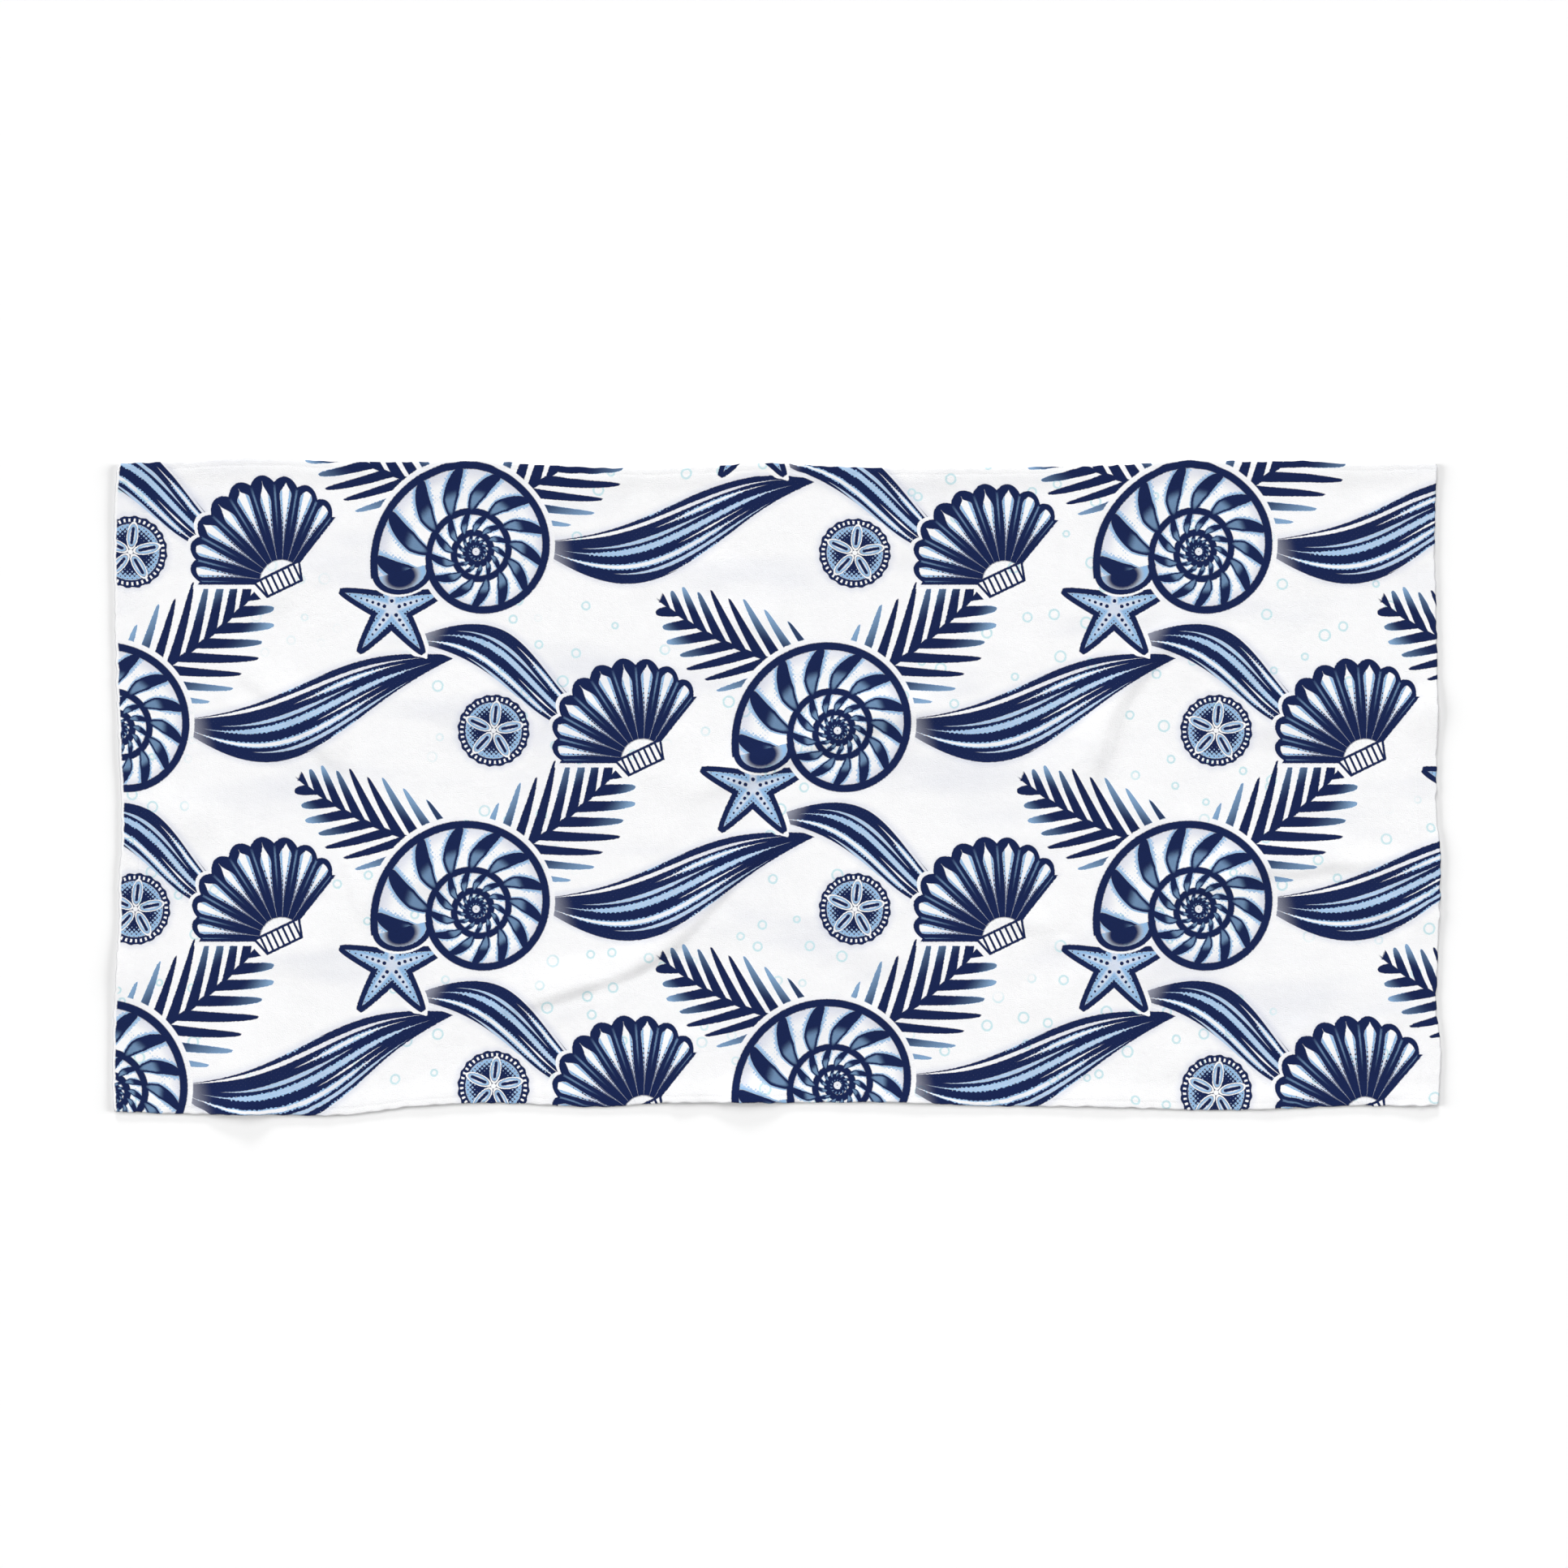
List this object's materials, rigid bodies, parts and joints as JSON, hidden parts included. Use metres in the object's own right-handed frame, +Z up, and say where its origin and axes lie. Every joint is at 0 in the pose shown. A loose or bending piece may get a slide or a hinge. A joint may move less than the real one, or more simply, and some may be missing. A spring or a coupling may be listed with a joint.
{
  "type": "beach towel",
  "caption": "Rectangular terry towel with turned hems, laid flat on a surface with low uneven folds and slightly wavy edges.",
  "frame": {"origin": "middle of the towel's bounding box, on the surface that it lies on", "axes": "+X along the towel to the right-hand short end, +Y across it to the far long side, +Z up from the surface"},
  "size_m": [1.527, 0.7526, 0.0119],
  "materials": {
    "velour_terry": "soft matt white velour terry, printed in navy and light blue on its upper face"
  },
  "bodies": {
    "root": {"towel_cloth": "velour_terry"}
  },
  "joints": []
}
